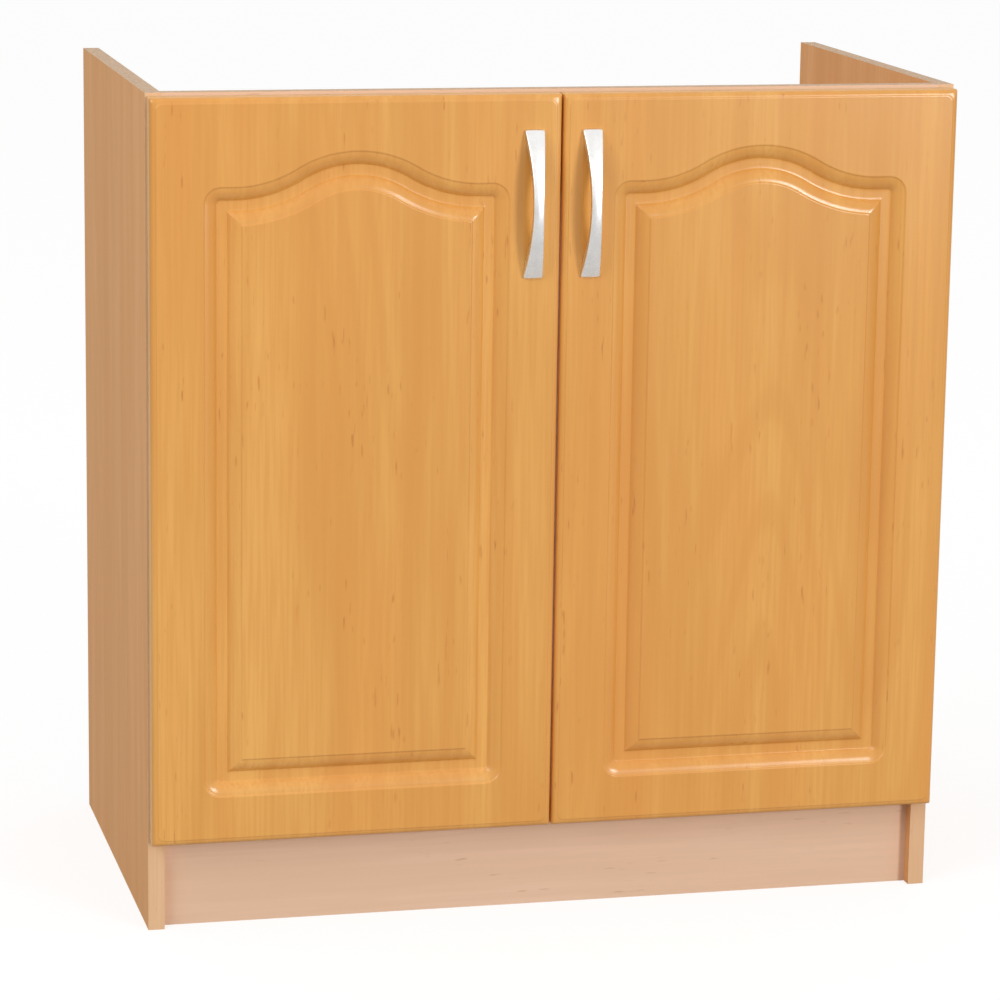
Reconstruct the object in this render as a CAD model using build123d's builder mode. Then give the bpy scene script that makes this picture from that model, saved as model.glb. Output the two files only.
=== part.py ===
from build123d import *
import os
from math import asin, degrees

# Kitchen sink base cabinet: an open-topped, open-backed carcass of laminated chipboard with two
# overlay doors on concealed cup hinges. Each door has a routed moulding with an arched top.
# Millimetres. X runs to the right, Y to the back, Z up. The doors face -Y. The origin is on the
# floor, under the centre of the whole cabinet with its handles.

os.makedirs("parts", exist_ok=True)

# ---- whole cabinet ----
width = 800.0  # over both side panels
height = 820.0  # floor to worktop
depth = 460.0  # back edges of the sides to the front of the doors

# ---- boards ----
board = 16.0  # thickness of every chipboard panel
edging = 1.0  # thickness of the edge strips
plinth_height = 100.0
plinth_setback = 13.0  # plinth behind the front edges of the sides
front_rail_height = 100.0
rear_rail_height = 100.0
rear_rail_drop = 80.0  # top of the rear rail below the top of the sides
wall_hole_radius = 3.5
wall_hole_spacing = 600.0

# ---- cam locks, cam bolts and dowels that join a board's ends to the sides ----
joint_offset = 16.0  # cam and dowel either side of a rail's middle
floor_cam_inset = 60.0  # cams of the bottom panel from its front and back edges
dowel_step = 32.0  # dowels of the bottom panel inward from its cams
joint_depth = 11.0  # depth of bolt and dowel holes in the sides
cam_radius = 7.5
cam_depth = 12.5
cam_setback = 24.0  # cam centre from the board's end
cam_slot_width = 2.0
cam_slot_depth = 1.5
bolt_thread_radius = 2.5
bolt_shank_radius = 3.0
bolt_neck_radius = 1.8
bolt_head_length = 5.0
bolt_bore_radius = 4.0
dowel_radius = 4.0
dowel_length = 30.0
loose_fit = 0.05  # radial clearance of screws, bolts, dowels and cams in their holes

# ---- doors ----
door_thickness = 18.0
door_gap = 2.0  # between the carcass and the back of a door
door_reveal = 1.5  # door edge in from the outside of the cabinet
door_split = 2.0  # between the two doors
door_top_gap = 3.0  # door top below the top of the cabinet
door_bottom = 90.0  # door bottom above the floor
door_edge_radius = 5.0
face_step = 0.4  # the flat face stands this proud of the rounded edge
face_corner_radius = 6.0

# ---- routed moulding: from both edges a small step, a rounded slope and a hollow to a flat floor ----
moulding_margin = 50.5  # outer line from the sides of the door
moulding_bottom_margin = 47.0
moulding_peak_margin = 51.5  # top of the arch from the top of the door
moulding_width = 37.5
moulding_turn = 17.0  # the outer half ends here, and its corners are rounded about this line
moulding_lap = 0.5  # overlap of the two halves on the flat floor
edge_quirk = 1.1  # depth of the small step at both edges
crease_inset = 13.7  # end of the rounded slopes, where they are steepest
crease_depth = 7.5
floor_inset = 16.4  # edge of the flat floor, where the hollows end
floor_depth = 7.8
ovolo_bulge = 1.4  # height of the rounded slopes over their chords
arch_rise = 32.7
arch_half_run = 118.0  # from the peak to where the curve meets the flat shoulder

# ---- bow handles ----
handle_length = 144.0
handle_hole_spacing = 128.0
handle_projection = 25.0
handle_thickness = 5.0  # at the middle of the bow
handle_foot = 16.0  # length of the flat foot at each end
handle_end_thickness = 2.5
handle_end_width = 20.0
handle_waist_width = 10.5
handle_edge_radius = 1.2
handle_corner_radius = 2.5  # rounding of the ends seen from the front
handle_inset = 27.5  # centre line from the door's free edge
handle_drop = 105.5  # centre below the top of the door
handle_thread_depth = 4.4
handle_screw_radius = 2.0
handle_screw_hole_radius = 2.3  # through the door
handle_screw_head_radius = 4.0
handle_screw_head = 2.4
handle_screw_sink = 3.0  # depth of the pocket in the back of the door
handle_screw_pocket_radius = 4.6

# ---- door buffers ----
buffer_radius = 4.0
buffer_thickness = 1.7
buffer_inset = 20.0  # from the door's free edge
buffer_end_inset = 18.0  # from the top and bottom of the door

# ---- concealed hinges, in from the outside of the cabinet and back from the carcass front ----
hinge_end_inset = 127.0  # hinge centres from the top and bottom of the door
cup_centre = 22.5
cup_radius = 17.5
cup_depth = 11.5
cup_wall = 0.8
flange = 1.0  # thickness of the cup's flange on the door
flange_lip = 1.5  # flange beyond the cup's bore
flange_ear_radius = 6.0
cup_screw_offset = 9.5  # cup screws behind the cup's centre, away from the hinge edge
cup_screw_spacing = 45.0
cup_screw_radius = 1.8
cup_screw_length = 12.0
cup_ear_reach = 3.0  # ears beyond the cup pin, towards the mouth and the middle
link_half_width = 5.0
link_thickness = 2.0
link_bend_radius = 17.0
eye_radius = 2.4
pin_radius = 1.2
pin_fit = 0.05  # radial running clearance
arm_pivot_inset, arm_pivot_back = 35.0, 4.0
cup_pivot_inset, cup_pivot_front = 10.5, 7.0
arm_half_width = 8.0
arm_sheet = 1.5
arm_nose_radius = 3.2
arm_web_inset = 35.5  # underside of the arm's web
arm_web_start = 8.5
arm_skirt_inset = 24.0  # lower edge of the arm's cheeks
arm_skirt_start = 14.0
arm_end = 66.0
riser_start, riser_end = 20.0, 62.0
riser_wall = 1.5
wing_thickness = 2.0
wing_width = 12.0
wing_length = 52.0
plate_screw_back = 37.0  # plate screws behind the carcass front
plate_screw_spacing = 32.0
plate_screw_radius = 2.5
plate_screw_length = 11.0
arm_screw_places = (27.0, 54.0)
arm_screw_radius = 2.0
arm_screw_length = 8.0
screw_head_radius = 3.5
screw_head = 1.2
cup_ear_clearance = 1.5  # ears outside the link

# ---- places worked out from the sizes above ----
outside = width / 2
inside = outside - board
back = (depth + handle_projection) / 2
carcass_depth = depth - door_thickness - door_gap
carcass_front = back - carcass_depth
door_back = carcass_front - door_gap
door_front = door_back - door_thickness
door_width = (width - 2 * door_reveal - door_split) / 2
door_top = height - door_top_gap
door_height = door_top - door_bottom
handle_height = door_top - handle_drop
hinge_heights = {"bottom": door_bottom + hinge_end_inset, "top": door_top - hinge_end_inset}
floor_top = plinth_height + board
rear_rail_top = height - rear_rail_drop
plinth_front = carcass_front + plinth_setback
arch_radius = (arch_half_run**2 + arch_rise**2) / (4 * arch_rise)
names = {-1: "left", 1: "right"}


def save(piece, name):
    """Labels a finished piece and writes its file."""
    piece.part.label = name
    export_step(piece.part, f"parts/{name}.step")


def block(low, high):
    """Adds the box between two corners to the part being built."""
    centre = [(a + b) / 2 for a, b in zip(low, high)]
    with Locations(tuple(centre)):
        Box(*[b - a for a, b in zip(low, high)])


def rod(start, direction, radius, length, mode=Mode.ADD):
    """Adds or cuts a round bar that starts at a point and runs along a direction."""
    with Locations(Plane(origin=start, z_dir=direction)):
        Cylinder(radius, length, align=(Align.CENTER, Align.CENTER, Align.MIN), mode=mode)


def drill(start, direction, radius, length):
    """Cuts a round hole into the part being built."""
    rod(start, direction, radius, length, mode=Mode.SUBTRACT)


# ---- where the boards are joined to the sides ----
def rail_joints(middle_y, middle_z):
    """Cam and dowel places, as (y, z), at each end of an upright board."""
    return [(middle_y, middle_z + joint_offset)], [(middle_y, middle_z - joint_offset)]


floor_middle = plinth_height + board / 2
floor_cam_rows = (carcass_front + floor_cam_inset, back - floor_cam_inset)
floor_dowel_rows = (floor_cam_rows[0] + dowel_step, floor_cam_rows[1] - dowel_step)
# board name: (cam places, dowel places, direction in which the cams are sunk into the board)
board_joints = {
    "bottom_panel": (
        [(y, floor_middle) for y in floor_cam_rows],
        [(y, floor_middle) for y in floor_dowel_rows],
        (0, 0, 1),
    ),
    "front_rail": (
        *rail_joints(carcass_front + board / 2, height - front_rail_height / 2),
        (0, -1, 0),
    ),
    "rear_rail": (
        *rail_joints(back - board / 2, rear_rail_top - rear_rail_height / 2),
        (0, -1, 0),
    ),
    "plinth": (
        *rail_joints(plinth_front + board / 2, plinth_height / 2),
        (0, -1, 0),
    ),
}
all_cams = [(y, z, sunk) for cams, _, sunk in board_joints.values() for y, z in cams]
all_dowels = [place for _, dowels, _ in board_joints.values() for place in dowels]


def cam_start(side, y, z, sunk):
    """Centre of a cam's outer face, on the board face that it is sunk into."""
    x = side * (inside - cam_setback)
    return (x, y - sunk[1] * board / 2, z - sunk[2] * board / 2)


def cut_board_joints(name):
    """Cuts the cam pockets, bolt bores and dowel holes at both ends of a board."""
    cams, dowels, sunk = board_joints[name]
    for side in names:
        for y, z in cams:
            drill((side * inside, y, z), (-side, 0, 0), bolt_bore_radius, cam_setback)
            drill(cam_start(side, y, z, sunk), sunk, cam_radius, cam_depth)
        for y, z in dowels:
            hole = dowel_length - joint_depth
            drill((side * inside, y, z), (-side, 0, 0), dowel_radius, hole)


# ---- hinge places ----
def hinge_frame(side, z):
    """Plane whose x runs in from the side's outer face, y back from the carcass front."""
    return Plane(
        origin=(side * outside, carcass_front, z), x_dir=(-side, 0, 0), z_dir=(0, 0, -side)
    )


def hinge_point(side, z, inward, rearward):
    """World point of a hinge place at the height z."""
    return (side * (outside - inward), carcass_front + rearward, z)


cup_screw_inset = cup_centre + cup_screw_offset
cup_inner_radius = cup_radius - loose_fit - cup_wall
cup_ear_inner = link_half_width + cup_ear_clearance
cup_pin_offset = cup_pivot_inset - cup_centre
cup_pin_half = (cup_inner_radius**2 - cup_pin_offset**2) ** 0.5
cheek_inner = arm_half_width - arm_sheet


# ---- carcass boards ----
def build_side(side):
    """Full-height side panel with the holes for bolts, dowels and hinge plates."""
    with BuildPart() as panel:
        x_low, x_high = sorted((side * inside, side * outside))
        block((x_low, carcass_front + edging, 0), (x_high, back, height))
        for y, z, _ in all_cams:
            drill((side * inside, y, z), (side, 0, 0), bolt_thread_radius, joint_depth)
        for y, z in all_dowels:
            drill((side * inside, y, z), (side, 0, 0), dowel_radius, joint_depth)
        for z in hinge_heights.values():
            for dz in (-plate_screw_spacing / 2, plate_screw_spacing / 2):
                start = hinge_point(side, z + dz, board, plate_screw_back)
                drill(start, (side, 0, 0), plate_screw_radius, plate_screw_length)
    save(panel, f"side_{names[side]}")


def build_side_band(side):
    """Edge strip on the front edge of a side panel."""
    with BuildPart() as band:
        x_low, x_high = sorted((side * inside, side * outside))
        block((x_low, carcass_front, 0), (x_high, carcass_front + edging, height))
    save(band, f"side_band_{names[side]}")


def build_bottom():
    """Bottom panel between the sides, on top of the plinth, and its front edge strip."""
    with BuildPart() as bottom:
        block((-inside, carcass_front + edging, plinth_height), (inside, back, floor_top))
        cut_board_joints("bottom_panel")
    save(bottom, "bottom_panel")
    with BuildPart() as band:
        block(
            (-inside, carcass_front, plinth_height), (inside, carcass_front + edging, floor_top)
        )
    save(band, "bottom_band")


def build_upright(name, y_low, z_low, z_high, hole_spacing=0.0):
    """Upright board between the sides, with wall-fixing holes where a spacing is given."""
    with BuildPart() as rail:
        block((-inside, y_low, z_low), (inside, y_low + board, z_high))
        cut_board_joints(name)
        if hole_spacing:
            for x in (-hole_spacing / 2, hole_spacing / 2):
                drill((x, y_low, (z_low + z_high) / 2), (0, 1, 0), wall_hole_radius, board)
    save(rail, name)


# ---- joining hardware ----
def build_cam_locks():
    """Round cams with a bore for the bolt's head and a cross slot."""
    with BuildPart() as locks:
        for side in names:
            for y, z, sunk in all_cams:
                start = cam_start(side, y, z, sunk)
                rod(start, sunk, cam_radius - loose_fit, cam_depth - loose_fit)
                middle = (start[0], y, z)
                drill(middle, (side, 0, 0), bolt_bore_radius, cam_radius)
                drill(middle, (-side, 0, 0), bolt_bore_radius, bolt_bore_radius)
                with Locations(Plane(origin=start, z_dir=sunk)):
                    for size in ((cam_radius, cam_slot_width), (cam_slot_width, cam_radius)):
                        Box(*size, 2 * cam_slot_depth, mode=Mode.SUBTRACT)
    save(locks, "cam_locks")


def build_cam_bolts():
    """Bolts that are screwed into the sides and held by the cams."""
    reach = cam_setback - bolt_head_length / 2
    with BuildPart() as bolts:
        for side in names:
            for y, z, _ in all_cams:
                start = (side * inside, y, z)
                rod(start, (side, 0, 0), bolt_thread_radius - loose_fit, joint_depth - loose_fit)
                rod(start, (-side, 0, 0), bolt_shank_radius, cam_setback - cam_radius)
                rod(start, (-side, 0, 0), bolt_neck_radius, reach)
                head = (side * (inside - reach), y, z)
                rod(head, (-side, 0, 0), bolt_shank_radius, bolt_head_length)
    save(bolts, "cam_bolts")


def build_dowels():
    """Wooden dowels, half in the sides and half in the boards' ends."""
    with BuildPart() as dowels:
        for side in names:
            for y, z in all_dowels:
                start = (side * (inside + joint_depth - loose_fit), y, z)
                length = dowel_length - 2 * loose_fit
                rod(start, (-side, 0, 0), dowel_radius - loose_fit, length)
    save(dowels, "dowels")


# ---- doors ----
def moulding_path(centre, inset):
    """Closed line on a door's front plane, inset from the moulding's outer line, and a plane across
    its start whose x points inward."""
    half = door_width / 2 - moulding_margin - inset
    low = door_bottom + moulding_bottom_margin + inset
    peak = door_top - moulding_peak_margin
    swing = degrees(asin(arch_half_run / (2 * arch_radius)))
    hollow_radius = arch_radius + inset
    hollow_centre = peak - arch_rise + arch_radius
    curve_end = min(half, arch_half_run)
    cut_off = arch_half_run - curve_end
    trim = degrees(asin(cut_off / hollow_radius))
    corner = hollow_centre - (hollow_radius**2 - cut_off**2) ** 0.5
    face = Plane(origin=(centre, door_front, 0), x_dir=(1, 0, 0), z_dir=(0, -1, 0))
    with BuildLine(face) as path:
        Polyline((0, low), (half, low), (half, corner))
        if half > curve_end:
            Line((half, corner), (curve_end, corner))
        CenterArc((arch_half_run, hollow_centre), hollow_radius, 270 - trim, trim - swing)
        CenterArc((0, peak - arch_radius), arch_radius - inset, 90 - swing, 2 * swing)
        CenterArc((-arch_half_run, hollow_centre), hollow_radius, 270 + swing, trim - swing)
        if half > curve_end:
            Line((-curve_end, corner), (-half, corner))
        Polyline((-half, corner), (-half, low), (0, low))
    section = Plane(origin=(centre, door_front, low), x_dir=(0, 0, 1), z_dir=(1, 0, 0))
    return path.wire(), section


def moulding_section(plane, edge, start):
    """Section of half the moulding, from its edge to a start on the flat floor.

    Both places are measured from the plane's origin, inward positive.
    """
    way = 1 if edge > start else -1
    crease = (edge - way * crease_inset, -crease_depth)
    rim = (edge, -edge_quirk)
    hollow_end = (edge - way * floor_inset, -floor_depth)
    clear = face_step + edge_quirk
    with BuildSketch(plane) as section:
        with BuildLine():
            Polyline(rim, (edge, clear), (start, clear), (start, -floor_depth), hollow_end)
            TangentArc(hollow_end, crease, tangent=(way, 0))
            SagittaArc(crease, rim, way * ovolo_bulge)
        make_face()
    return section.sketch


def build_door(side):
    """Door with a rounded front edge, the moulding, and its holes for hinges and handle."""
    centre = side * (door_split + door_width) / 2
    free_edge = side * door_split / 2
    middle = (door_bottom + door_top) / 2
    rounded_front = door_front + face_step
    with BuildPart() as door:
        block(
            (centre - door_width / 2, rounded_front, door_bottom),
            (centre + door_width / 2, door_back, door_top),
        )
        fillet(door.faces().sort_by(Axis.Y)[0].edges(), door_edge_radius)
        face = Plane(origin=(centre, rounded_front, middle), x_dir=(1, 0, 0), z_dir=(0, -1, 0))
        with BuildSketch(face):
            RectangleRounded(
                door_width - 2 * door_edge_radius,
                door_height - 2 * door_edge_radius,
                face_corner_radius,
            )
        extrude(amount=face_step)
        path, plane = moulding_path(centre, moulding_turn)
        outer = moulding_section(plane, -moulding_turn, 0)
        sweep(outer, path=path, transition=Transition.ROUND, mode=Mode.SUBTRACT)
        path, plane = moulding_path(centre, moulding_width)
        inner = moulding_section(plane, 0, moulding_turn - moulding_lap - moulding_width)
        sweep(inner, path=path, transition=Transition.RIGHT, mode=Mode.SUBTRACT)
        for z in hinge_heights.values():
            cup = hinge_point(side, z, cup_centre, -door_gap)
            drill(cup, (0, -1, 0), cup_radius, cup_depth)
            for dz in (-cup_screw_spacing / 2, cup_screw_spacing / 2):
                start = hinge_point(side, z + dz, cup_screw_inset, -door_gap)
                drill(start, (0, -1, 0), cup_screw_radius, cup_screw_length)
        for dz in (-handle_hole_spacing / 2, handle_hole_spacing / 2):
            start = (free_edge + side * handle_inset, door_back, handle_height + dz)
            drill(start, (0, -1, 0), handle_screw_hole_radius, door_thickness)
            drill(start, (0, -1, 0), handle_screw_pocket_radius, handle_screw_sink)
    save(door, f"door_{names[side]}")


def build_handle(side):
    """Bow handle: a crescent strap, narrow in the middle, on two flat feet."""
    place = side * (door_split / 2 + handle_inset)
    half = handle_length / 2
    hollow = half - handle_foot
    rise = handle_projection - handle_thickness
    profile = Plane(origin=(place, door_front, handle_height), x_dir=(0, 0, 1), z_dir=(1, 0, 0))
    outline = Plane(origin=(place, door_front, handle_height), x_dir=(1, 0, 0), z_dir=(0, -1, 0))
    end, waist = handle_end_width / 2, handle_waist_width / 2
    with BuildPart() as handle:
        with BuildSketch(profile):
            with BuildLine():
                tip = handle_end_thickness
                ThreePointArc((-half, tip), (0, handle_projection), (half, tip))
                Polyline((half, tip), (half, 0), (hollow, 0))
                ThreePointArc((hollow, 0), (0, rise), (-hollow, 0))
                Polyline((-hollow, 0), (-half, 0), (-half, tip))
            make_face()
        extrude(amount=handle_end_width, both=True)
        with BuildSketch(outline):
            with BuildLine():
                Line((-end, half), (end, half))
                ThreePointArc((end, half), (waist, 0), (end, -half))
                Line((end, -half), (-end, -half))
                ThreePointArc((-end, -half), (-waist, 0), (-end, half))
            make_face()
        extrude(amount=2 * handle_projection, mode=Mode.INTERSECT)
        fillet(handle.edges().filter_by(Axis.Y), handle_corner_radius)
        fillet(handle.faces().sort_by(Axis.Y)[0].edges(), handle_edge_radius)
        for dz in (-handle_hole_spacing / 2, handle_hole_spacing / 2):
            start = (place, door_front, handle_height + dz)
            drill(start, (0, -1, 0), handle_screw_radius, handle_thread_depth)
    save(handle, f"handle_{names[side]}")


def build_handle_screws(side):
    """Two machine screws from the back of the door into the handle's feet."""
    place = side * (door_split / 2 + handle_inset)
    seat = door_back - handle_screw_sink
    length = seat - door_front + handle_thread_depth - loose_fit
    with BuildPart() as screws:
        for dz in (-handle_hole_spacing / 2, handle_hole_spacing / 2):
            start = (place, seat, handle_height + dz)
            rod(start, (0, -1, 0), handle_screw_radius - loose_fit, length)
            rod(start, (0, 1, 0), handle_screw_head_radius, handle_screw_head)
    save(screws, f"handle_screws_{names[side]}")


def build_buffers(side):
    """Soft dots on the back of a door, by its free edge."""
    place = side * (door_split / 2 + buffer_inset)
    with BuildPart() as buffers:
        for z in (door_bottom + buffer_end_inset, door_top - buffer_end_inset):
            rod((place, door_back, z), (0, 1, 0), buffer_radius, buffer_thickness)
    save(buffers, f"door_buffers_{names[side]}")


# ---- concealed hinges ----
def build_cup(side, level, z):
    """Hinge cup with its flange and the two ears that hold the cup pin."""
    mouth = Plane(
        origin=hinge_point(side, z, cup_centre, -door_gap), x_dir=(-side, 0, 0), z_dir=(0, 1, 0)
    )
    floor = cup_wall - cup_depth
    pin_height = door_gap - cup_pivot_front
    ear_side = cup_pin_offset + cup_ear_reach
    ear_span = cup_radius - cup_ear_inner
    with BuildPart() as cup:
        with BuildSketch(mouth):
            Circle(cup_radius - loose_fit)
        extrude(amount=-cup_depth + loose_fit)
        with BuildSketch(mouth):
            Circle(cup_radius + flange_lip)
            with Locations(
                (cup_screw_offset, cup_screw_spacing / 2), (cup_screw_offset, -cup_screw_spacing / 2)
            ):
                Circle(flange_ear_radius)
            make_hull()
        extrude(amount=flange)
        with BuildSketch(mouth.offset(flange)):
            Circle(cup_inner_radius)
        extrude(amount=floor - flange, mode=Mode.SUBTRACT)
        for way in (-1, 1):
            with BuildSketch(mouth.offset(floor)):
                Circle(cup_inner_radius + cup_wall / 2)
                with Locations((ear_side - cup_radius, way * (cup_ear_inner + ear_span / 2))):
                    Rectangle(2 * cup_radius, ear_span, mode=Mode.INTERSECT)
            extrude(amount=pin_height + cup_ear_reach - floor)
        start = hinge_point(side, z - cup_pin_half, cup_pivot_inset, -cup_pivot_front)
        drill(start, (0, 0, 1), pin_radius, 2 * cup_pin_half)
        for dz in (-cup_screw_spacing / 2, cup_screw_spacing / 2):
            start = hinge_point(side, z + dz, cup_screw_inset, -door_gap)
            drill(start, (0, 1, 0), cup_screw_radius, flange)
    save(cup, f"hinge_cup_{names[side]}_{level}")


def build_link(side, level, z):
    """Curved strap between the arm pin and the cup pin, with an eye at each end."""
    arm_eye = Vector(arm_pivot_inset, arm_pivot_back)
    cup_eye = Vector(cup_pivot_inset, -cup_pivot_front)
    chord = arm_eye - cup_eye
    across = Vector(-chord.Y, chord.X).normalized()
    rise = (link_bend_radius**2 - (chord.length / 2) ** 2) ** 0.5
    bend = (arm_eye + cup_eye) / 2 + across * rise
    low = bend - across * link_bend_radius
    with BuildPart() as link:
        with BuildSketch(hinge_frame(side, z)):
            with BuildLine():
                ThreePointArc(cup_eye, low, arm_eye)
            trace(line_width=link_thickness)
            with Locations(arm_eye, cup_eye):
                Circle(eye_radius)
                Circle(pin_radius + pin_fit, mode=Mode.SUBTRACT)
        extrude(amount=link_half_width, both=True)
    save(link, f"hinge_link_{names[side]}_{level}")


def build_arm(side, level, z):
    """U-shaped hinge arm: two cheeks that hold the arm pin, joined by a web."""
    frame = hinge_frame(side, z)
    web_top = arm_web_inset + arm_sheet
    with BuildPart() as arm:
        for low in (-arm_half_width, cheek_inner):
            with BuildSketch(frame.offset(low)):
                with Locations((arm_pivot_inset, arm_pivot_back)):
                    Circle(arm_nose_radius)
                with Locations(
                    ((arm_skirt_inset + web_top) / 2, (arm_skirt_start + arm_end) / 2)
                ):
                    Rectangle(web_top - arm_skirt_inset, arm_end - arm_skirt_start)
                make_hull()
            extrude(amount=arm_sheet)
        with BuildSketch(frame.offset(-arm_half_width)):
            with Locations(
                (arm_web_inset + arm_sheet / 2, (arm_web_start + arm_end) / 2)
            ):
                Rectangle(arm_sheet, arm_end - arm_web_start)
        extrude(amount=2 * arm_half_width)
        start = hinge_point(side, z - arm_half_width, arm_pivot_inset, arm_pivot_back)
        drill(start, (0, 0, 1), pin_radius, 2 * arm_half_width)
        for place in arm_screw_places:
            start = hinge_point(side, z, arm_web_inset, place)
            drill(start, (-side, 0, 0), arm_screw_radius, arm_sheet)
    save(arm, f"hinge_arm_{names[side]}_{level}")


def build_plate(side, level, z):
    """Mounting plate: two wings on the side panel and a hollow riser under the arm."""
    frame = hinge_frame(side, z)
    riser_middle = (riser_start + riser_end) / 2
    riser_length = riser_end - riser_start
    with BuildPart() as plate:
        with BuildSketch(frame):
            with Locations(((board + arm_web_inset) / 2, riser_middle)):
                Rectangle(arm_web_inset - board, riser_length)
        extrude(amount=cheek_inner, both=True)
        with BuildSketch(frame):
            with Locations((board + wing_thickness / 2, plate_screw_back)):
                Rectangle(wing_thickness, wing_width)
        extrude(amount=wing_length / 2, both=True)
        with BuildSketch(frame):
            hollow_top = arm_web_inset - riser_wall
            with Locations(((board + hollow_top) / 2, riser_middle)):
                Rectangle(hollow_top - board, riser_length - 2 * riser_wall)
        extrude(amount=cheek_inner - riser_wall, both=True, mode=Mode.SUBTRACT)
        for dz in (-plate_screw_spacing / 2, plate_screw_spacing / 2):
            start = hinge_point(side, z + dz, board, plate_screw_back)
            drill(start, (-side, 0, 0), plate_screw_radius, wing_thickness)
        for place in arm_screw_places:
            start = hinge_point(side, z, arm_web_inset - riser_wall, place)
            drill(start, (-side, 0, 0), arm_screw_radius, riser_wall)
    save(plate, f"hinge_plate_{names[side]}_{level}")


def build_pins(side):
    """Arm pins and cup pins of one door's hinges, each kind in its own file."""
    with BuildPart() as arm_pins:
        for z in hinge_heights.values():
            start = hinge_point(side, z - arm_half_width, arm_pivot_inset, arm_pivot_back)
            rod(start, (0, 0, 1), pin_radius, 2 * arm_half_width)
    save(arm_pins, f"hinge_arm_pins_{names[side]}")
    with BuildPart() as cup_pins:
        for z in hinge_heights.values():
            start = hinge_point(side, z - cup_pin_half, cup_pivot_inset, -cup_pivot_front)
            rod(start, (0, 0, 1), pin_radius, 2 * cup_pin_half)
    save(cup_pins, f"hinge_cup_pins_{names[side]}")


def build_hinge_screws(side):
    """Cup, plate and arm screws of one door's hinges, each kind in its own file."""
    with BuildPart() as cup_screws:
        for z in hinge_heights.values():
            for dz in (-cup_screw_spacing / 2, cup_screw_spacing / 2):
                seat = hinge_point(side, z + dz, cup_screw_inset, flange - door_gap)
                shank = flange + cup_screw_length - loose_fit
                rod(seat, (0, -1, 0), cup_screw_radius - loose_fit, shank)
                rod(seat, (0, 1, 0), screw_head_radius, screw_head)
    save(cup_screws, f"hinge_cup_screws_{names[side]}")
    with BuildPart() as plate_screws:
        for z in hinge_heights.values():
            for dz in (-plate_screw_spacing / 2, plate_screw_spacing / 2):
                seat = hinge_point(side, z + dz, board + wing_thickness, plate_screw_back)
                shank = wing_thickness + plate_screw_length - loose_fit
                rod(seat, (side, 0, 0), plate_screw_radius - loose_fit, shank)
                rod(seat, (-side, 0, 0), screw_head_radius, screw_head)
    save(plate_screws, f"hinge_plate_screws_{names[side]}")
    with BuildPart() as arm_screws:
        for z in hinge_heights.values():
            for place in arm_screw_places:
                seat = hinge_point(side, z, arm_web_inset + arm_sheet, place)
                rod(seat, (side, 0, 0), arm_screw_radius - loose_fit, arm_screw_length)
                rod(seat, (-side, 0, 0), screw_head_radius, screw_head)
    save(arm_screws, f"hinge_arm_screws_{names[side]}")


# ---- build everything ----
build_bottom()
build_upright("plinth", plinth_front, 0, plinth_height)
build_upright("front_rail", carcass_front, height - front_rail_height, height)
build_upright(
    "rear_rail", back - board, rear_rail_top - rear_rail_height, rear_rail_top, wall_hole_spacing
)
build_cam_locks()
build_cam_bolts()
build_dowels()
for side in names:
    build_side(side)
    build_side_band(side)
    build_door(side)
    build_handle(side)
    build_handle_screws(side)
    build_buffers(side)
    for level, z in hinge_heights.items():
        build_cup(side, level, z)
        build_link(side, level, z)
        build_arm(side, level, z)
        build_plate(side, level, z)
    build_pins(side)
    build_hinge_screws(side)
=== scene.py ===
import math

import bmesh
import bpy
from mathutils import Matrix, Vector, geometry


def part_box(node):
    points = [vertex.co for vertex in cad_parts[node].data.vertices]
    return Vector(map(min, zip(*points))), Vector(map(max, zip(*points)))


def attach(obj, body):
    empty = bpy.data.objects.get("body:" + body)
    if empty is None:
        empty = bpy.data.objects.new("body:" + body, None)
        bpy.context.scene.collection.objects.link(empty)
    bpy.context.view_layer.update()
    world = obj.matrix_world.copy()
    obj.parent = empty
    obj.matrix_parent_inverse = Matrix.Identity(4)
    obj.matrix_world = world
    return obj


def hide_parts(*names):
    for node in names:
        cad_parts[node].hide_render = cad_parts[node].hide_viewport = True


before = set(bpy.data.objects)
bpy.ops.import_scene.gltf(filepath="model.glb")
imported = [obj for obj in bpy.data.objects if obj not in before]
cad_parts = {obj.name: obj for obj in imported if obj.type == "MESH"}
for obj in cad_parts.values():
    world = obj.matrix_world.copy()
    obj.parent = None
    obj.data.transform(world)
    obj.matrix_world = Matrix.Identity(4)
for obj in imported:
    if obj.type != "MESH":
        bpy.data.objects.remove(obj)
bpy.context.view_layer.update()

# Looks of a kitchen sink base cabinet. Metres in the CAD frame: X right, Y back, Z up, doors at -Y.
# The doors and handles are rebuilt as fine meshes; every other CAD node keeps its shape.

mm = 0.001
sides = {"left": -1, "right": 1}  # each with its way along X

# ---- doors, millimetres ----
edge_radius = 5.0  # rounded front edge of a door
face_step = 0.6  # the flat face stands this proud of the rounded edge
step_run = 0.9  # width of that soft step
corner_start, corner_growth = 1.5, 0.9  # corner radius at the rim, and its growth per mm inward
back_break = 0.4  # small bevel round the back
cup_inset = 22.5  # hinge cup centre from the outside of the cabinet
cup_radius, cup_depth = 17.5, 11.5
pocket_radius, pocket_depth = 4.6, 3.0  # seats of the handle screws in the back
screw_head_radius = 4.0

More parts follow.
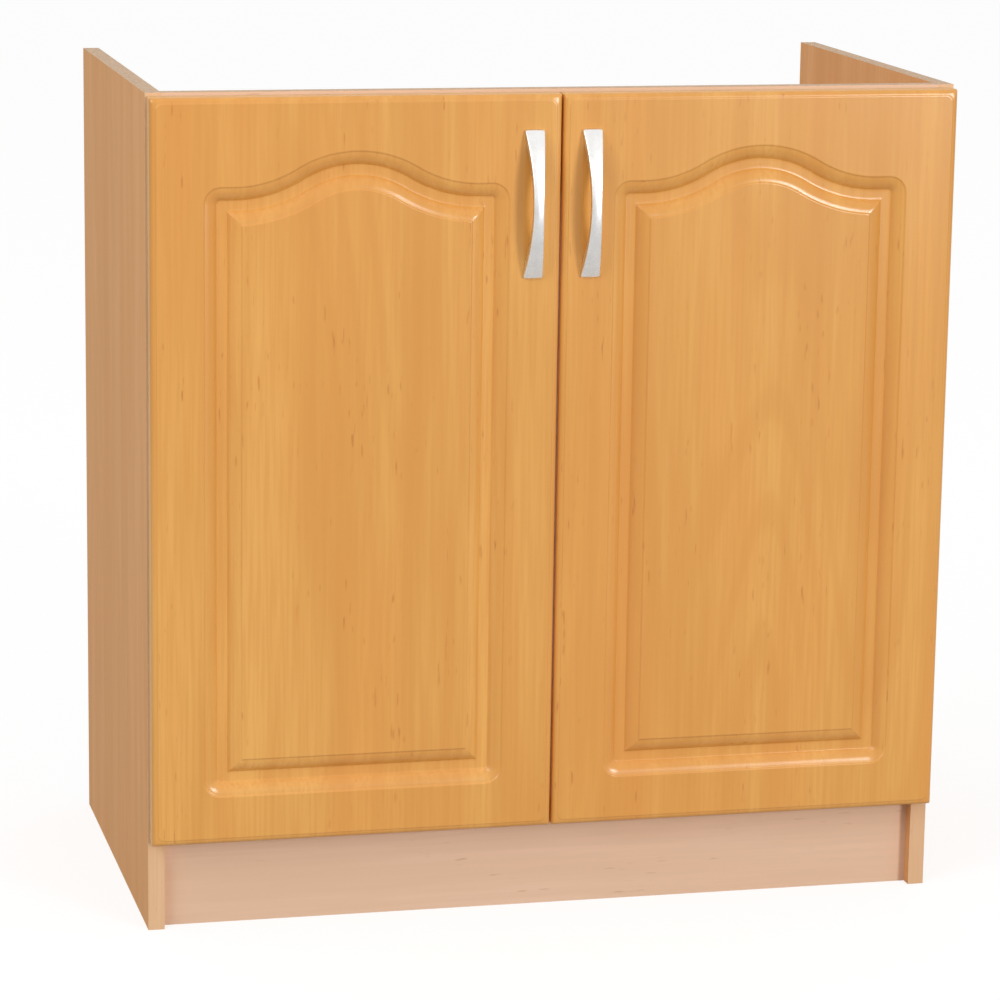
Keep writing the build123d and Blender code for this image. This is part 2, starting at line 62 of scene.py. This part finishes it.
# ---- moulding of a door, millimetres ----
moulding_margin = 50.5  # from the door's sides to the moulding's outer line
moulding_bottom_margin = 47.0
moulding_peak_margin = 51.5
moulding_width = 37.5
moulding_turn = 17.0  # the corners of the outer half are rounded about this line
arch_rise = 32.7  # from the shoulders up to the peak
arch_half_run = 118.0  # from the peak to where a shoulder starts
quirk_width, quirk_depth = 1.4, 1.1  # small sloping step at both edges
crease_inset, crease_depth = 13.7, 7.62  # sharp crease at the end of a rounded slope
floor_inset, floor_depth = 16.4, 7.8  # a shallow hollow leads on to the flat floor
ovolo_bulge = 1.38  # height of the rounded slopes over their chords
foil_softness = 0.24  # how far the foil rounds each corner of the cut

# ---- handles, millimetres ----
handle_thickness = 5.0  # of the bowed strap at its middle
handle_foot = 16.0  # length at each end that lies on the door
handle_end_thickness = 2.5
handle_end_width, handle_waist_width = 20.0, 10.5
handle_corner_radius = 2.5  # of the ends, seen from the front
handle_edge_radius = 1.4
handle_crown = 0.5  # the middle of the strap stands this proud of its long edges
handle_back_radius = 0.4
edge_share, back_share = 0.8, 0.3  # most of the strap's thickness that a rounding takes up
crown_start = 78  # degrees that the rounded edge turns before the crown goes on from it

# ---- fineness of the meshes, millimetres and counts ----
same_place = 0.001  # points nearer than this are one
merge_reach = 0.002
fill_tolerance = 1e-5  # of the triangles that fill a flat region
end_support = 1.0  # a straight run has an extra point this near each end
end_share = 0.3  # or, on a short run, at this share of it
rim_corner_steps, rim_run_steps = 8, 6
back_support, edge_support = 0.5, 0.8  # rings this near the back bevel and the rounded edge
edge_steps = 10
step_shares = (0.2, 0.5, 0.8, 1.0)  # rings down the soft step, as shares of its width
ring_gap = 0.3  # between the rings of the moulding
flat_margin = 1.4  # the moulding's rings start this far out on the flat
bottom_steps, corner_steps, side_steps = 12, 10, 24
shoulder_steps, hollow_steps, peak_steps = 3, 24, 26
bevel_start = 0.1  # inset at the middle of the back bevel
bore_margin, bore_support, bore_steps = 0.5, 0.3, 64
strap_steps, strap_even_start = 56, 7.0  # sections of a handle, even from this far off its ends
strap_end_gaps = (0.0, 0.08, 0.25, 0.5, 0.85, 1.3, 1.9, 2.6, 3.6, 5.0)  # and closer towards them
strap_edge_steps, strap_back_steps, crown_steps = 7, 3, 6

# ---- light, metres and watts, and camera ----
softboxes = {
    "key_light": {"place": (3.72, -7.19, 1.7), "size": (1.7, 2.5), "power": 250},
    "fill_light": {"place": (-2.5, -2.3, 2.3), "size": (1.8, 1.8), "power": 34},
}
light_target = (0, -0.2, 0.45)
world_lighting, world_seen = 0.67, 1.0  # strength as a light, and to camera and glossy rays
floor_size = 80
floor_seen, floor_mirrored = 0.77, 0.42  # glow of the floor to camera rays and to glossy rays
camera_place = (-0.925, -3.7935, 1.209)
camera_yaw, camera_pitch, camera_roll = -13.64, -12.06, -0.85  # degrees, from a level view to +Y
sensor_width, lens = 36.0, 139.4  # millimetres


# ======== meshes ========
def add_object(name, data):
    made = bpy.data.objects.new(name, data)
    bpy.context.scene.collection.objects.link(made)
    return made


def mesh_object(name, build, materials):
    """Runs build on an empty bmesh and returns the object made of it."""
    bm = bmesh.new()
    build(bm)
    bmesh.ops.remove_doubles(bm, verts=bm.verts, dist=merge_reach * mm)
    bmesh.ops.dissolve_degenerate(bm, edges=bm.edges, dist=same_place * mm)
    bmesh.ops.recalc_face_normals(bm, faces=bm.faces)
    mesh = bpy.data.meshes.new(name)
    bm.to_mesh(mesh)
    bm.free()
    for material in materials:
        mesh.materials.append(material)
    return add_object(name, mesh)


def add_ring(bm, points):
    """New vertices at points given in millimetres."""
    return [bm.verts.new(Vector(p) * mm) for p in points]


def bridge(bm, rings, material=0):
    """Smooth-shaded quads between closed rings that follow each other, with as many points."""
    for first, second in zip(rings, rings[1:]):
        count = len(first)
        for i in range(count):
            j = (i + 1) % count
            face = bm.faces.new((first[i], first[j], second[j], second[i]))
            face.smooth = True
            face.material_index = material


def fill_flat(bm, outer, holes, material=0):
    """Triangles over a flat X-Z region between an outer ring and the rings of its holes."""
    rings = [outer, *holes]
    outlines = [[Vector((v.co.x, v.co.z)) / mm for v in ring] for ring in rings]
    verts = [v for ring in rings for v in ring]
    points = [point for outline in outlines for point in outline]
    edges, start = [], 0
    for ring in rings:
        count = len(ring)
        edges += [(start + i, start + (i + 1) % count) for i in range(count)]
        start += count
    made = geometry.delaunay_2d_cdt(points, edges, [], 0, fill_tolerance)
    places, _, triangles, origins, _, _ = made
    for triangle in triangles:
        centre = sum((places[i] for i in triangle), Vector((0, 0))) / 3
        if inside(centre, outlines[0]) and not any(inside(centre, hole) for hole in outlines[1:]):
            face = bm.faces.new([verts[origins[i][0]] for i in triangle])
            face.material_index = material


def inside(point, outline):
    """True if a 2D point lies in a closed outline."""
    found = False
    for a, b in zip(outline, outline[1:] + outline[:1]):
        if (a.y > point.y) != (b.y > point.y):
            if point.x < a.x + (b.x - a.x) * (point.y - a.y) / (b.y - a.y):
                found = not found
    return found


def unique(ring):
    """The ring's vertices without repeats, for filling a flat region."""
    kept = []
    for v in ring:
        if not kept or (v.co - kept[-1].co).length > same_place * mm:
            kept.append(v)
    if (kept[0].co - kept[-1].co).length < same_place * mm:
        kept.pop()
    return kept


def arc(centre, radius, start, end, steps):
    """Points of an arc, angles in degrees, with both ends."""
    turns = [math.radians(start + (end - start) * i / steps) for i in range(steps + 1)]
    return [(centre[0] + radius * math.cos(t), centre[1] + radius * math.sin(t)) for t in turns]


def straight(start, end, steps):
    """Points of a straight run, with one close to each end so that corners shade crisply."""
    a, b = Vector(start), Vector(end)
    near = min(end_support / max((b - a).length, same_place), end_share)
    shares = [0, near, *[i / steps for i in range(1, steps)], 1 - near, 1]
    return [tuple(a.lerp(b, s)) for s in sorted(shares)]


# ======== the door ========
front_finish, back_finish, side_finish = 0, 1, 2  # places in a door's list of materials


def arch_over(place, start, end, bulge):
    """Height at a place of the arc from start to end, which bulges to smaller heights."""
    run, fall = end[0] - start[0], end[1] - start[1]
    chord = math.hypot(run, fall)
    radius = (chord**2 / 4 + bulge**2) / (2 * bulge)
    reach = radius - bulge
    centre_x = start[0] + run / 2 - reach * fall / chord
    centre_y = start[1] + fall / 2 + reach * run / chord
    return centre_y - math.sqrt(radius**2 - (place - centre_x) ** 2)


def cut_depth(inset):
    """Depth of the routed moulding at an inset from its outer line, before the foil."""
    inset = min(inset, moulding_width - inset)  # the two halves mirror each other
    if inset < quirk_width:
        return quirk_depth * max(inset, 0.0) / quirk_width
    if inset < crease_inset:
        edge, crease = (quirk_width, quirk_depth), (crease_inset, crease_depth)
        return arch_over(inset, edge, crease, ovolo_bulge)
    if inset < floor_inset:
        share = (floor_inset - inset) / (floor_inset - crease_inset)
        return floor_depth + (crease_depth - floor_depth) * share**2
    return floor_depth


def soft_depth(inset):
    """Depth with the foil drawn over the cut: its mean round the inset, weighted by a bell curve."""
    offsets = [k / 3 for k in range(-7, 8)]
    weights = [math.exp(-(offset**2) / 2) for offset in offsets]
    cuts = [cut_depth(inset + foil_softness * offset) for offset in offsets]
    return sum(w * c for w, c in zip(weights, cuts)) / sum(weights)


class Door:
    """Places of one door in millimetres, read from its CAD node and from what is fixed to it."""

    def __init__(self, side):
        low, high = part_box(f"door_{side}")
        self.left, self.right = low.x / mm, high.x / mm
        self.front, self.back = low.y / mm, high.y / mm
        self.bottom, self.top = low.z / mm, high.z / mm
        self.centre = (self.left + self.right) / 2
        low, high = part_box(f"side_{side}")
        outside = low.x if sides[side] < 0 else high.x
        self.cup_x = outside / mm - sides[side] * cup_inset
        cups = [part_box(f"hinge_cup_{side}_{level}") for level in ("bottom", "top")]
        self.cup_heights = [(a.z + b.z) / 2 / mm for a, b in cups]
        low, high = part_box(f"handle_screws_{side}")
        self.screw_x = (low.x + high.x) / 2 / mm
        self.screw_heights = (low.z / mm + screw_head_radius, high.z / mm - screw_head_radius)

    def build(self, bm):
        rims = [add_ring(bm, self.rim_ring(*rim)) for rim in self.front_rims()]
        bridge(bm, rims[:2], side_finish)
        bridge(bm, rims[1:], front_finish)
        span = moulding_width + 2 * flat_margin
        count = round(span / ring_gap)
        insets = [span * i / count - flat_margin for i in range(count + 1)]
        moulding = [add_ring(bm, self.moulding_ring(inset)) for inset in insets]
        bridge(bm, moulding, front_finish)
        fill_flat(bm, rims[-1], [unique(moulding[0])], front_finish)
        fill_flat(bm, unique(moulding[-1]), [], front_finish)
        self.build_back(bm, rims[0])

    def front_rims(self):
        """Inset and Y of the rings from beside the back bevel to the flat face."""
        rounded = self.front + face_step + edge_radius
        rims = [(0.0, self.back - back_break - back_support), (0.0, rounded + edge_support)]
        for i in range(edge_steps + 1):
            turn = math.radians(90 * i / edge_steps)
            rims.append((edge_radius * (1 - math.cos(turn)), rounded - edge_radius * math.sin(turn)))
        for share in step_shares:
            height = face_step * share * share * (3 - 2 * share)
            rims.append((edge_radius + step_run * share, self.front + face_step - height))
        rims.append((edge_radius + 2 * step_run, self.front))
        return rims

    def rim_ring(self, inset, y):
        """Ring parallel to the door's outline, with rounded corners."""
        radius = corner_start + corner_growth * inset
        x0, x1 = self.left + inset + radius, self.right - inset - radius
        z0, z1 = self.bottom + inset + radius, self.top - inset - radius
        corners = [
            arc(centre, radius, turn, turn + 90, rim_corner_steps)
            for centre, turn in (((x1, z0), -90), ((x1, z1), 0), ((x0, z1), 90), ((x0, z0), 180))
        ]
        points = []
        for corner, following in zip(corners, corners[1:] + corners[:1]):
            points += corner + straight(corner[-1], following[0], rim_run_steps)[1:-1]
        return [(x, y, z) for x, z in points]

    def moulding_ring(self, inset):
        """Ring along the moulding, with as many points at any inset.

        Its right half goes along the bottom, up the side and along a shoulder to the arch, which
        is a hollow and then a crown of one radius. The corners are round outside moulding_turn
        and sharp inside it, and the shoulder gets shorter inward until the hollow meets the side.
        """
        arch_radius = (arch_half_run**2 + arch_rise**2) / (4 * arch_rise)
        swing = math.degrees(math.asin(arch_half_run / 2 / arch_radius))
        full = (self.right - self.left) / 2 - moulding_margin
        half = full - inset
        low = self.bottom + moulding_bottom_margin
        peak = self.top - moulding_peak_margin
        turn = max(moulding_turn, inset)
        corner_radius = turn - inset
        hollow = (arch_half_run, peak - arch_rise + arch_radius)
        hollow_radius = arch_radius + inset
        cut_off = max(arch_half_run - half, 0.0)
        trim = math.degrees(math.asin(cut_off / hollow_radius))
        shoulder = hollow[1] - math.sqrt(hollow_radius**2 - cut_off**2)
        shoulder_corner = shoulder if inset > moulding_turn else peak - arch_rise - moulding_turn
        x = full - turn
        path = straight((0, low + inset), (x, low + inset), bottom_steps)
        path += arc((x, low + turn), corner_radius, -90, 0, corner_steps)
        path += straight((half, low + turn), (half, shoulder_corner), side_steps)
        path += arc((x, shoulder_corner), corner_radius, 0, 90, corner_steps)
        path += straight((x, shoulder), (min(x, arch_half_run), shoulder), shoulder_steps)
        path += arc(hollow, hollow_radius, 270 - trim, 270 - swing, hollow_steps)
        path += arc((0, peak - arch_radius), arch_radius - inset, 90 - swing, 90, peak_steps)
        path += [(-x, z) for x, z in reversed(path[1:-1])]
        y = self.front + soft_depth(inset)
        return [(self.centre + x, y, z) for x, z in path]

    def build_back(self, bm, rim):
        """White back with the bores of the hinge cups and the seats of the handle screws."""
        steps = ((bevel_start, 0.5 * back_break), (back_break, 0.0), (2.5 * back_break, 0.0))
        rings = [add_ring(bm, self.rim_ring(inset, self.back - y)) for inset, y in steps]
        bridge(bm, [rim, rings[0]], front_finish)
        bridge(bm, rings, back_finish)
        mouths = [self.sink_bore(bm, self.cup_x, z, cup_radius, cup_depth) for z in self.cup_heights]
        for z in self.screw_heights:
            mouths.append(self.sink_bore(bm, self.screw_x, z, pocket_radius, pocket_depth))
        fill_flat(bm, rings[-1], mouths, back_finish)

    def sink_bore(self, bm, x, z, radius, depth):
        """Makes a round bore in the back and returns the ring round its mouth."""
        rings = []
        steps = ((radius + bore_margin, 0), (radius, 0), (radius, bore_support), (radius, depth))
        for ring_radius, y in steps:
            circle = arc((x, z), ring_radius, 0, 360, bore_steps)[:-1]
            rings.append(add_ring(bm, [(px, self.back - y, pz) for px, pz in circle]))
        bridge(bm, rings, back_finish)
        bm.faces.new(rings[-1]).material_index = back_finish
        return rings[0]


# ======== the handle ========
def bow(place, run, ends, middle):
    """Height at a place of the arc through (-run, ends), (0, middle) and (run, ends)."""
    rise = middle - ends
    radius = (run**2 + rise**2) / (2 * rise)
    return ends + math.sqrt(radius**2 - place**2) - (radius - rise)


def rounded_off(radius, gap):
    """What a rounded corner takes away at a gap from the end."""
    return radius - math.sqrt(radius**2 - (radius - gap) ** 2) if gap < radius else 0.0


class Handle:
    """Places of one bow handle in millimetres, read from its CAD node."""

    def __init__(self, side):
        low, high = (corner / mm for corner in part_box(f"handle_{side}"))
        self.centre_x, self.centre_z = (low.x + high.x) / 2, (low.z + high.z) / 2
        self.base, self.projection = high.y, high.y - low.y
        self.half = (high.z - low.z) / 2

    def build(self, bm):
        even = self.half - strap_even_start
        middle = [even - even * 2 * i / strap_steps for i in range(strap_steps + 1)]
        end = [self.half - gap for gap in strap_end_gaps]
        rings = [add_ring(bm, self.section(z)) for z in end + middle + [-z for z in reversed(end)]]
        bridge(bm, rings)
        for ring in (rings[0], rings[-1]):
            bm.faces.new(ring)

    def section(self, z):
        """Ring round the strap at a height from the handle's middle."""
        end_gap = self.half - abs(z)
        waist_cut = (handle_end_width - handle_waist_width) / 2
        half_width = handle_end_width / 2 - bow(z, self.half, 0, waist_cut)
        half_width -= rounded_off(handle_corner_radius, end_gap)
        outer = bow(z, self.half, handle_end_thickness, self.projection)
        outer -= rounded_off(handle_edge_radius, end_gap)
        hollow = self.half - handle_foot
        inner = bow(z, hollow, 0, self.projection - handle_thickness) if abs(z) < hollow else 0.0
        thickness = outer - inner
        edge = min(handle_edge_radius, edge_share * thickness)
        back = min(handle_back_radius, back_share * thickness)
        crown = min(handle_crown, back_share * thickness)
        brim = outer - crown
        run = half_width - edge
        points = arc((run, brim - edge), edge, 0, crown_start, strap_edge_steps)
        shares = [k / crown_steps for k in range(crown_steps - 1, -crown_steps, -1)]
        points += [(run * share, outer - crown * share**2) for share in shares]
        points += arc((-run, brim - edge), edge, 180 - crown_start, 180, strap_edge_steps)
        for way, start in ((-1, 180), (1, 270)):
            centre = (way * (half_width - back), inner + back)
            points += arc(centre, back, start, start + 90, strap_back_steps)
        return [(self.centre_x + x, self.base - y, self.centre_z + z) for x, y in points]


# ======== materials ========
class Graph:
    """Builds a material's nodes. Inputs are values or the outputs of other nodes."""

    def __init__(self, name):
        self.material = bpy.data.materials.new(name)
        self.material.use_nodes = True
        self.tree = self.material.node_tree
        self.shader = self.tree.nodes["Principled BSDF"]
        self.coordinates = self.add("ShaderNodeTexCoord").outputs

    def add(self, kind, inputs=None, **settings):
        node = self.tree.nodes.new(kind)
        for key, value in settings.items():
            setattr(node, key, value)
        self.fill(node, inputs or {})
        return node

    def fill(self, node, inputs):
        for key, value in inputs.items():
            if isinstance(value, bpy.types.NodeSocket):
                self.tree.links.new(value, node.inputs[key])
            else:
                node.inputs[key].default_value = value

    def math(self, operation, a, b=0.0):
        return self.add("ShaderNodeMath", {0: a, 1: b}, operation=operation).outputs[0]

    def times(self, a, b):
        return self.math("MULTIPLY", a, b)

    def ramp(self, value, low, high, out_low=0.0, out_high=1.0):
        """Smooth step of a value between two bounds."""
        inputs = {0: value, 1: low, 2: high, 3: out_low, 4: out_high}
        node = self.add("ShaderNodeMapRange", inputs, interpolation_type="SMOOTHSTEP")
        return node.outputs[0]

    def mix(self, share, a, b):
        """Colour a share of the way from a to b."""
        return self.add("ShaderNodeMix", {0: share, 6: a, 7: b}, data_type="RGBA").outputs[2]

    def axes(self, vector):
        return self.add("ShaderNodeSeparateXYZ", {0: vector}).outputs

    def scaled(self, vector, factors):
        node = self.add("ShaderNodeVectorMath", {0: vector, 1: factors}, operation="MULTIPLY")
        return node.outputs[0]

    def noise(self, vector, scales, detail=2.0, roughness=0.5, distortion=0.0):
        """Noise with so many features per metre along each axis."""
        inputs = {
            "Vector": self.scaled(vector, scales),
            "Scale": 1.0,
            "Detail": detail,
            "Roughness": roughness,
            "Distortion": distortion,
        }
        return self.add("ShaderNodeTexNoise", inputs).outputs["Fac"]

    def bump(self, height, depth):
        """Normal of a relief, its depth in millimetres."""
        return self.add("ShaderNodeBump", {"Height": height, "Distance": depth * mm}).outputs["Normal"]

    def finish(self, **inputs):
        """Sets the shader's inputs, such as base_color, and returns the material."""
        names = {key.replace("_", " ").title().replace("Ior", "IOR"): v for key, v in inputs.items()}
        self.fill(self.shader, names)
        return self.material


def rgb(red, green, blue):
    """Linear colour of an sRGB colour given from 0 to 255."""

    def linear(value):
        value /= 255
        return value / 12.92 if value <= 0.04045 else ((value + 0.055) / 1.055) ** 2.4

    return (linear(red), linear(green), linear(blue), 1.0)


def grain_vector(graph, order):
    """Object coordinates reordered to (across the grain, depth, along the grain)."""
    axes = graph.axes(graph.coordinates["Object"])
    inputs = {i: axes["XYZ".index(axis)] for i, axis in enumerate(order)}
    return graph.add("ShaderNodeCombineXYZ", inputs).outputs[0]


def wood_print(graph, order, light, dark, warm, fleck, figure=1.0):
    """Colour and fibre height of a printed wood grain, its cathedral lines as strong as figure."""
    place = grain_vector(graph, order)

    bands = graph.noise(place, (24, 24, 1.3), detail=3.0, roughness=0.6)
    colour = graph.mix(graph.ramp(bands, 0.3, 0.72), light, dark)

    clouds = graph.noise(place, (9, 9, 3.2))
    colour = graph.mix(graph.times(graph.ramp(clouds, 0.35, 0.75), 0.35), colour, dark)

    blush = graph.noise(place, (13, 13, 2.1))
    colour = graph.mix(graph.times(graph.ramp(blush, 0.42, 0.68), 0.5), colour, warm)

    contours = graph.noise(place, (4.6, 4.6, 0.62), detail=1.2, roughness=0.4, distortion=0.25)
    waves = graph.math("SINE", graph.times(contours, 2 * math.pi * 17))
    where = graph.ramp(graph.noise(place, (7, 7, 1.1), detail=1.0), 0.42, 0.62)
    cathedral = graph.times(graph.ramp(waves, 0.1, 1.0), where)
    colour = graph.mix(graph.times(cathedral, 0.4 * figure), colour, dark)

    fibre = graph.noise(place, (280, 280, 8), roughness=0.6)
    colour = graph.mix(graph.times(graph.ramp(fibre, 0.35, 0.68), 0.5), colour, dark)

    dashes = graph.noise(place, (270, 270, 44), detail=1.0)
    zones = graph.ramp(graph.noise(place, (22, 22, 5), detail=1.0), 0.45, 0.62)
    flecks = graph.times(graph.ramp(dashes, 0.66, 0.80), zones)
    colour = graph.mix(graph.times(flecks, 0.55), colour, fleck)
    return colour, fibre


def door_foil():
    graph = Graph("door_foil_front")
    light, dark, warm = rgb(237, 177, 93), rgb(221, 153, 72), rgb(231, 157, 76)
    colour, fibre = wood_print(graph, "XYZ", light, dark, warm, rgb(190, 112, 48))
    rough = graph.ramp(fibre, 0.2, 0.8, 0.19, 0.25)
    normal = graph.bump(fibre, 0.01)
    return graph.finish(base_color=colour, roughness=rough, normal=normal, specular_ior_level=0.5)


# the door's flat sides: the same foil as the front, printed lighter as painted light on the edges and
# top
def door_sides_painted_light():
    graph = Graph("door_foil_sides")
    light, dark, warm = rgb(247, 196, 120), rgb(236, 178, 102), rgb(242, 182, 106)
    colour, fibre = wood_print(graph, "YXZ", light, dark, warm, rgb(182, 116, 48))
    normal = graph.bump(fibre, 0.01)
    return graph.finish(base_color=colour, roughness=0.4, normal=normal, specular_ior_level=0.25)


def door_back():
    graph = Graph("white_melamine")
    place = graph.coordinates["Object"]
    peel = graph.noise(place, (420, 420, 420))
    cloud = graph.noise(place, (14, 14, 14))
    colour = graph.mix(cloud, rgb(238, 236, 230), rgb(229, 226, 219))
    rough = graph.ramp(peel, 0.3, 0.7, 0.38, 0.5)
    return graph.finish(base_color=colour, roughness=rough, normal=graph.bump(peel, 0.03))


def chipboard(graph, order):
    """Colour and height of a sawn chipboard edge, its flakes lying along the board."""
    place = grain_vector(graph, order)
    vector = graph.scaled(place, (620, 620, 240))
    flakes = graph.add("ShaderNodeTexVoronoi", {"Vector": vector, "Scale": 1.0})
    tone = graph.axes(flakes.outputs["Color"])[0]
    dust = graph.noise(place, (1500, 1500, 900))
    colour = graph.mix(tone, rgb(232, 204, 176), rgb(206, 174, 144))
    colour = graph.mix(graph.times(graph.ramp(dust, 0.55, 0.8), 0.5), colour, rgb(160, 130, 102))
    return colour, graph.times(dust, tone)


def beech_board(name, face_axis, order, tones, face_roughness):
    """Beech laminate on the two faces across an axis, and bare chipboard on the edges."""
    graph = Graph(name)
    laminate, fibre = wood_print(graph, order, *tones, figure=0.5)
    chips, dust = chipboard(graph, order)
    facing = graph.axes(graph.coordinates["Normal"])["XYZ".index(face_axis)]
    face = graph.ramp(graph.math("ABSOLUTE", facing), 0.6, 0.8)
    edge = graph.math("SUBTRACT", 1.0, face)
    colour = graph.mix(face, chips, laminate)
    rough = graph.ramp(face, 0.0, 1.0, 0.85, face_roughness)
    height = graph.math("ADD", graph.times(fibre, 0.08), graph.times(dust, edge))
    normal = graph.bump(height, 0.25)
    return graph.finish(base_color=colour, roughness=rough, normal=normal, specular_ior_level=0.12)


def beech_edging(name, order):
    graph = Graph(name)
    light, dark, warm = rgb(236, 194, 150), rgb(222, 176, 131), rgb(230, 182, 138)
    colour, fibre = wood_print(graph, order, light, dark, warm, rgb(196, 146, 102), figure=0.2)
    return graph.finish(base_color=colour, roughness=0.45, normal=graph.bump(fibre, 0.02))


def metal(name, colour, roughness, brushed=(60, 60, 60), depth=0.01, wear=0.08):
    """Metal with fine brushing or casting grain and slightly uneven gloss."""
    graph = Graph(name)
    place = graph.coordinates["Object"]
    lines = graph.noise(place, brushed, detail=3.0, roughness=0.65)
    cloud = graph.noise(place, (90, 90, 90))
    duller = tuple(c * 0.93 for c in colour[:3]) + (1.0,)
    tint = graph.mix(graph.ramp(cloud, 0.3, 0.7), colour, duller)
    rough = graph.ramp(lines, 0.25, 0.75, roughness - wear, roughness + wear)
    normal = graph.bump(lines, depth)
    return graph.finish(base_color=tint, metallic=1.0, roughness=rough, normal=normal)


def plain(name, light, dark, roughness, scale):
    """Matt material with a soft speckle."""
    graph = Graph(name)
    speckle = graph.noise(graph.coordinates["Object"], (scale,) * 3, detail=3.0)
    colour = graph.mix(graph.ramp(speckle, 0.3, 0.7), light, dark)
    return graph.finish(base_color=colour, roughness=roughness, normal=graph.bump(speckle, 0.03))


# light, dark, warm and fleck tones of the laminate; the sides' tones are painted darker and more
# orange than the rails' as painted shade on the sides
side_tones_painted_shade = rgb(246, 189, 132), rgb(232, 170, 110), rgb(240, 175, 116), rgb(202, 138, 86)
rail_tones = rgb(241, 205, 178), rgb(229, 191, 160), rgb(235, 192, 162), rgb(202, 157, 122)

door_finishes = [door_foil(), door_back(), door_sides_painted_light()]  # in the order of front_finish and so on
handle_metal = metal("satin_nickel", rgb(245, 244, 242), 0.3, (900, 900, 60), 0.004, 0.05)
side_board_painted_shade = beech_board("beech_side_painted_shade", "X", "YXZ", side_tones_painted_shade, 0.6)
upright_board = beech_board("beech_upright", "Y", "ZYX", rail_tones, 0.4)
floor_board = beech_board("beech_floor", "Z", "YZX", rail_tones, 0.4)
side_edging = beech_edging("beech_band_upright", "XYZ")
floor_edging = beech_edging("beech_band_level", "ZYX")
board_finishes = {
    "side_left": side_board_painted_shade,
    "side_right": side_board_painted_shade,
    "front_rail": upright_board,
    "rear_rail": upright_board,
    "plinth": upright_board,
    "bottom_panel": floor_board,
    "side_band_left": side_edging,
    "side_band_right": side_edging,
    "bottom_band": floor_edging,
}
slot_finishes = {
    "hinge_steel": metal("nickel_plate", rgb(190, 186, 178), 0.26),
    "screw_steel": metal("zinc_plated_steel", rgb(176, 174, 170), 0.34),
    "zinc_cam": metal("cast_zinc", rgb(150, 150, 150), 0.5, (700, 700, 700), 0.03),
    "zinc_bolt": metal("zinc_bolt_steel", rgb(180, 180, 176), 0.36),
    "dowel_wood": plain("dowel_beech", rgb(222, 188, 148), rgb(200, 160, 116), 0.75, 260),
    "buffer_rubber": plain("clear_buffer", rgb(214, 214, 208), rgb(196, 196, 190), 0.45, 300),
}

# ======== pieces ========
for side in sides:
    door = mesh_object(f"panel_door_{side}", Door(side).build, door_finishes)
    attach(door, f"door_{side}")
    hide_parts(f"door_{side}")
    handle = mesh_object(f"bow_handle_{side}", Handle(side).build, [handle_metal])
    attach(handle, f"door_{side}")
    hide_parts(f"handle_{side}")

for name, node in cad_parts.items():
    slot = node.data.materials[0].name.split(".")[0]
    finish = board_finishes.get(name) or slot_finishes.get(slot)
    if finish:  # the replaced doors and handles have none
        node.data.materials[0] = finish


# ======== floor, light and camera ========
white = (1, 1, 1, 1)


def make_floor():
    """Floor that keeps the cabinet's shadow, and glows as much as it takes to look white."""
    graph = Graph("pale_floor")
    rays = graph.add("ShaderNodeLightPath").outputs
    seen = graph.times(rays["Is Camera Ray"], floor_seen)
    mirrored = graph.times(rays["Is Glossy Ray"], floor_mirrored)
    graph.finish(
        base_color=rgb(150, 150, 150),
        roughness=0.9,
        specular_ior_level=0.0,
        emission_color=white,
        emission_strength=graph.math("ADD", seen, mirrored),
    )
    bpy.ops.mesh.primitive_plane_add(size=floor_size)
    floor = bpy.context.object
    floor.name = "floor"
    floor.data.materials.append(graph.material)


def make_world():
    """White surroundings that light the cabinet a little less brightly than they are seen."""
    world = bpy.data.worlds.new("studio")
    bpy.context.scene.world = world
    world.use_nodes = True
    tree = world.node_tree
    rays = tree.nodes.new("ShaderNodeLightPath")
    seen = tree.nodes.new("ShaderNodeMath")
    seen.operation = "MAXIMUM"
    tree.links.new(rays.outputs["Is Camera Ray"], seen.inputs[0])
    tree.links.new(rays.outputs["Is Glossy Ray"], seen.inputs[1])
    strength = tree.nodes.new("ShaderNodeMapRange")
    strength.inputs["To Min"].default_value = world_lighting
    strength.inputs["To Max"].default_value = world_seen
    tree.links.new(seen.outputs[0], strength.inputs["Value"])
    background = tree.nodes["Background"]
    background.inputs["Color"].default_value = white
    tree.links.new(strength.outputs[0], background.inputs["Strength"])


def make_softbox(name, place, size, power):
    data = bpy.data.lights.new(name, "AREA")
    data.energy = power
    data.shape = "RECTANGLE"
    data.size, data.size_y = size
    light = add_object(name, data)
    light.location = place
    light.rotation_euler = (Vector(light_target) - light.location).to_track_quat("-Z", "Y").to_euler()


def rotation(degrees, axis):
    return Matrix.Rotation(math.radians(degrees), 4, axis)


def make_camera():
    data = bpy.data.cameras.new("camera")
    data.sensor_width = sensor_width
    data.lens = lens
    camera = add_object("camera", data)
    bpy.context.scene.camera = camera
    place = Matrix.Translation(camera_place)
    yaw, pitch = rotation(camera_yaw, "Z"), rotation(camera_pitch, "X")
    roll, level = rotation(camera_roll, "Y"), rotation(90, "X")
    camera.matrix_world = place @ yaw @ pitch @ roll @ level


make_floor()
make_world()
for name, softbox in softboxes.items():
    make_softbox(name, **softbox)
make_camera()
bpy.context.scene.view_settings.view_transform = "Standard"
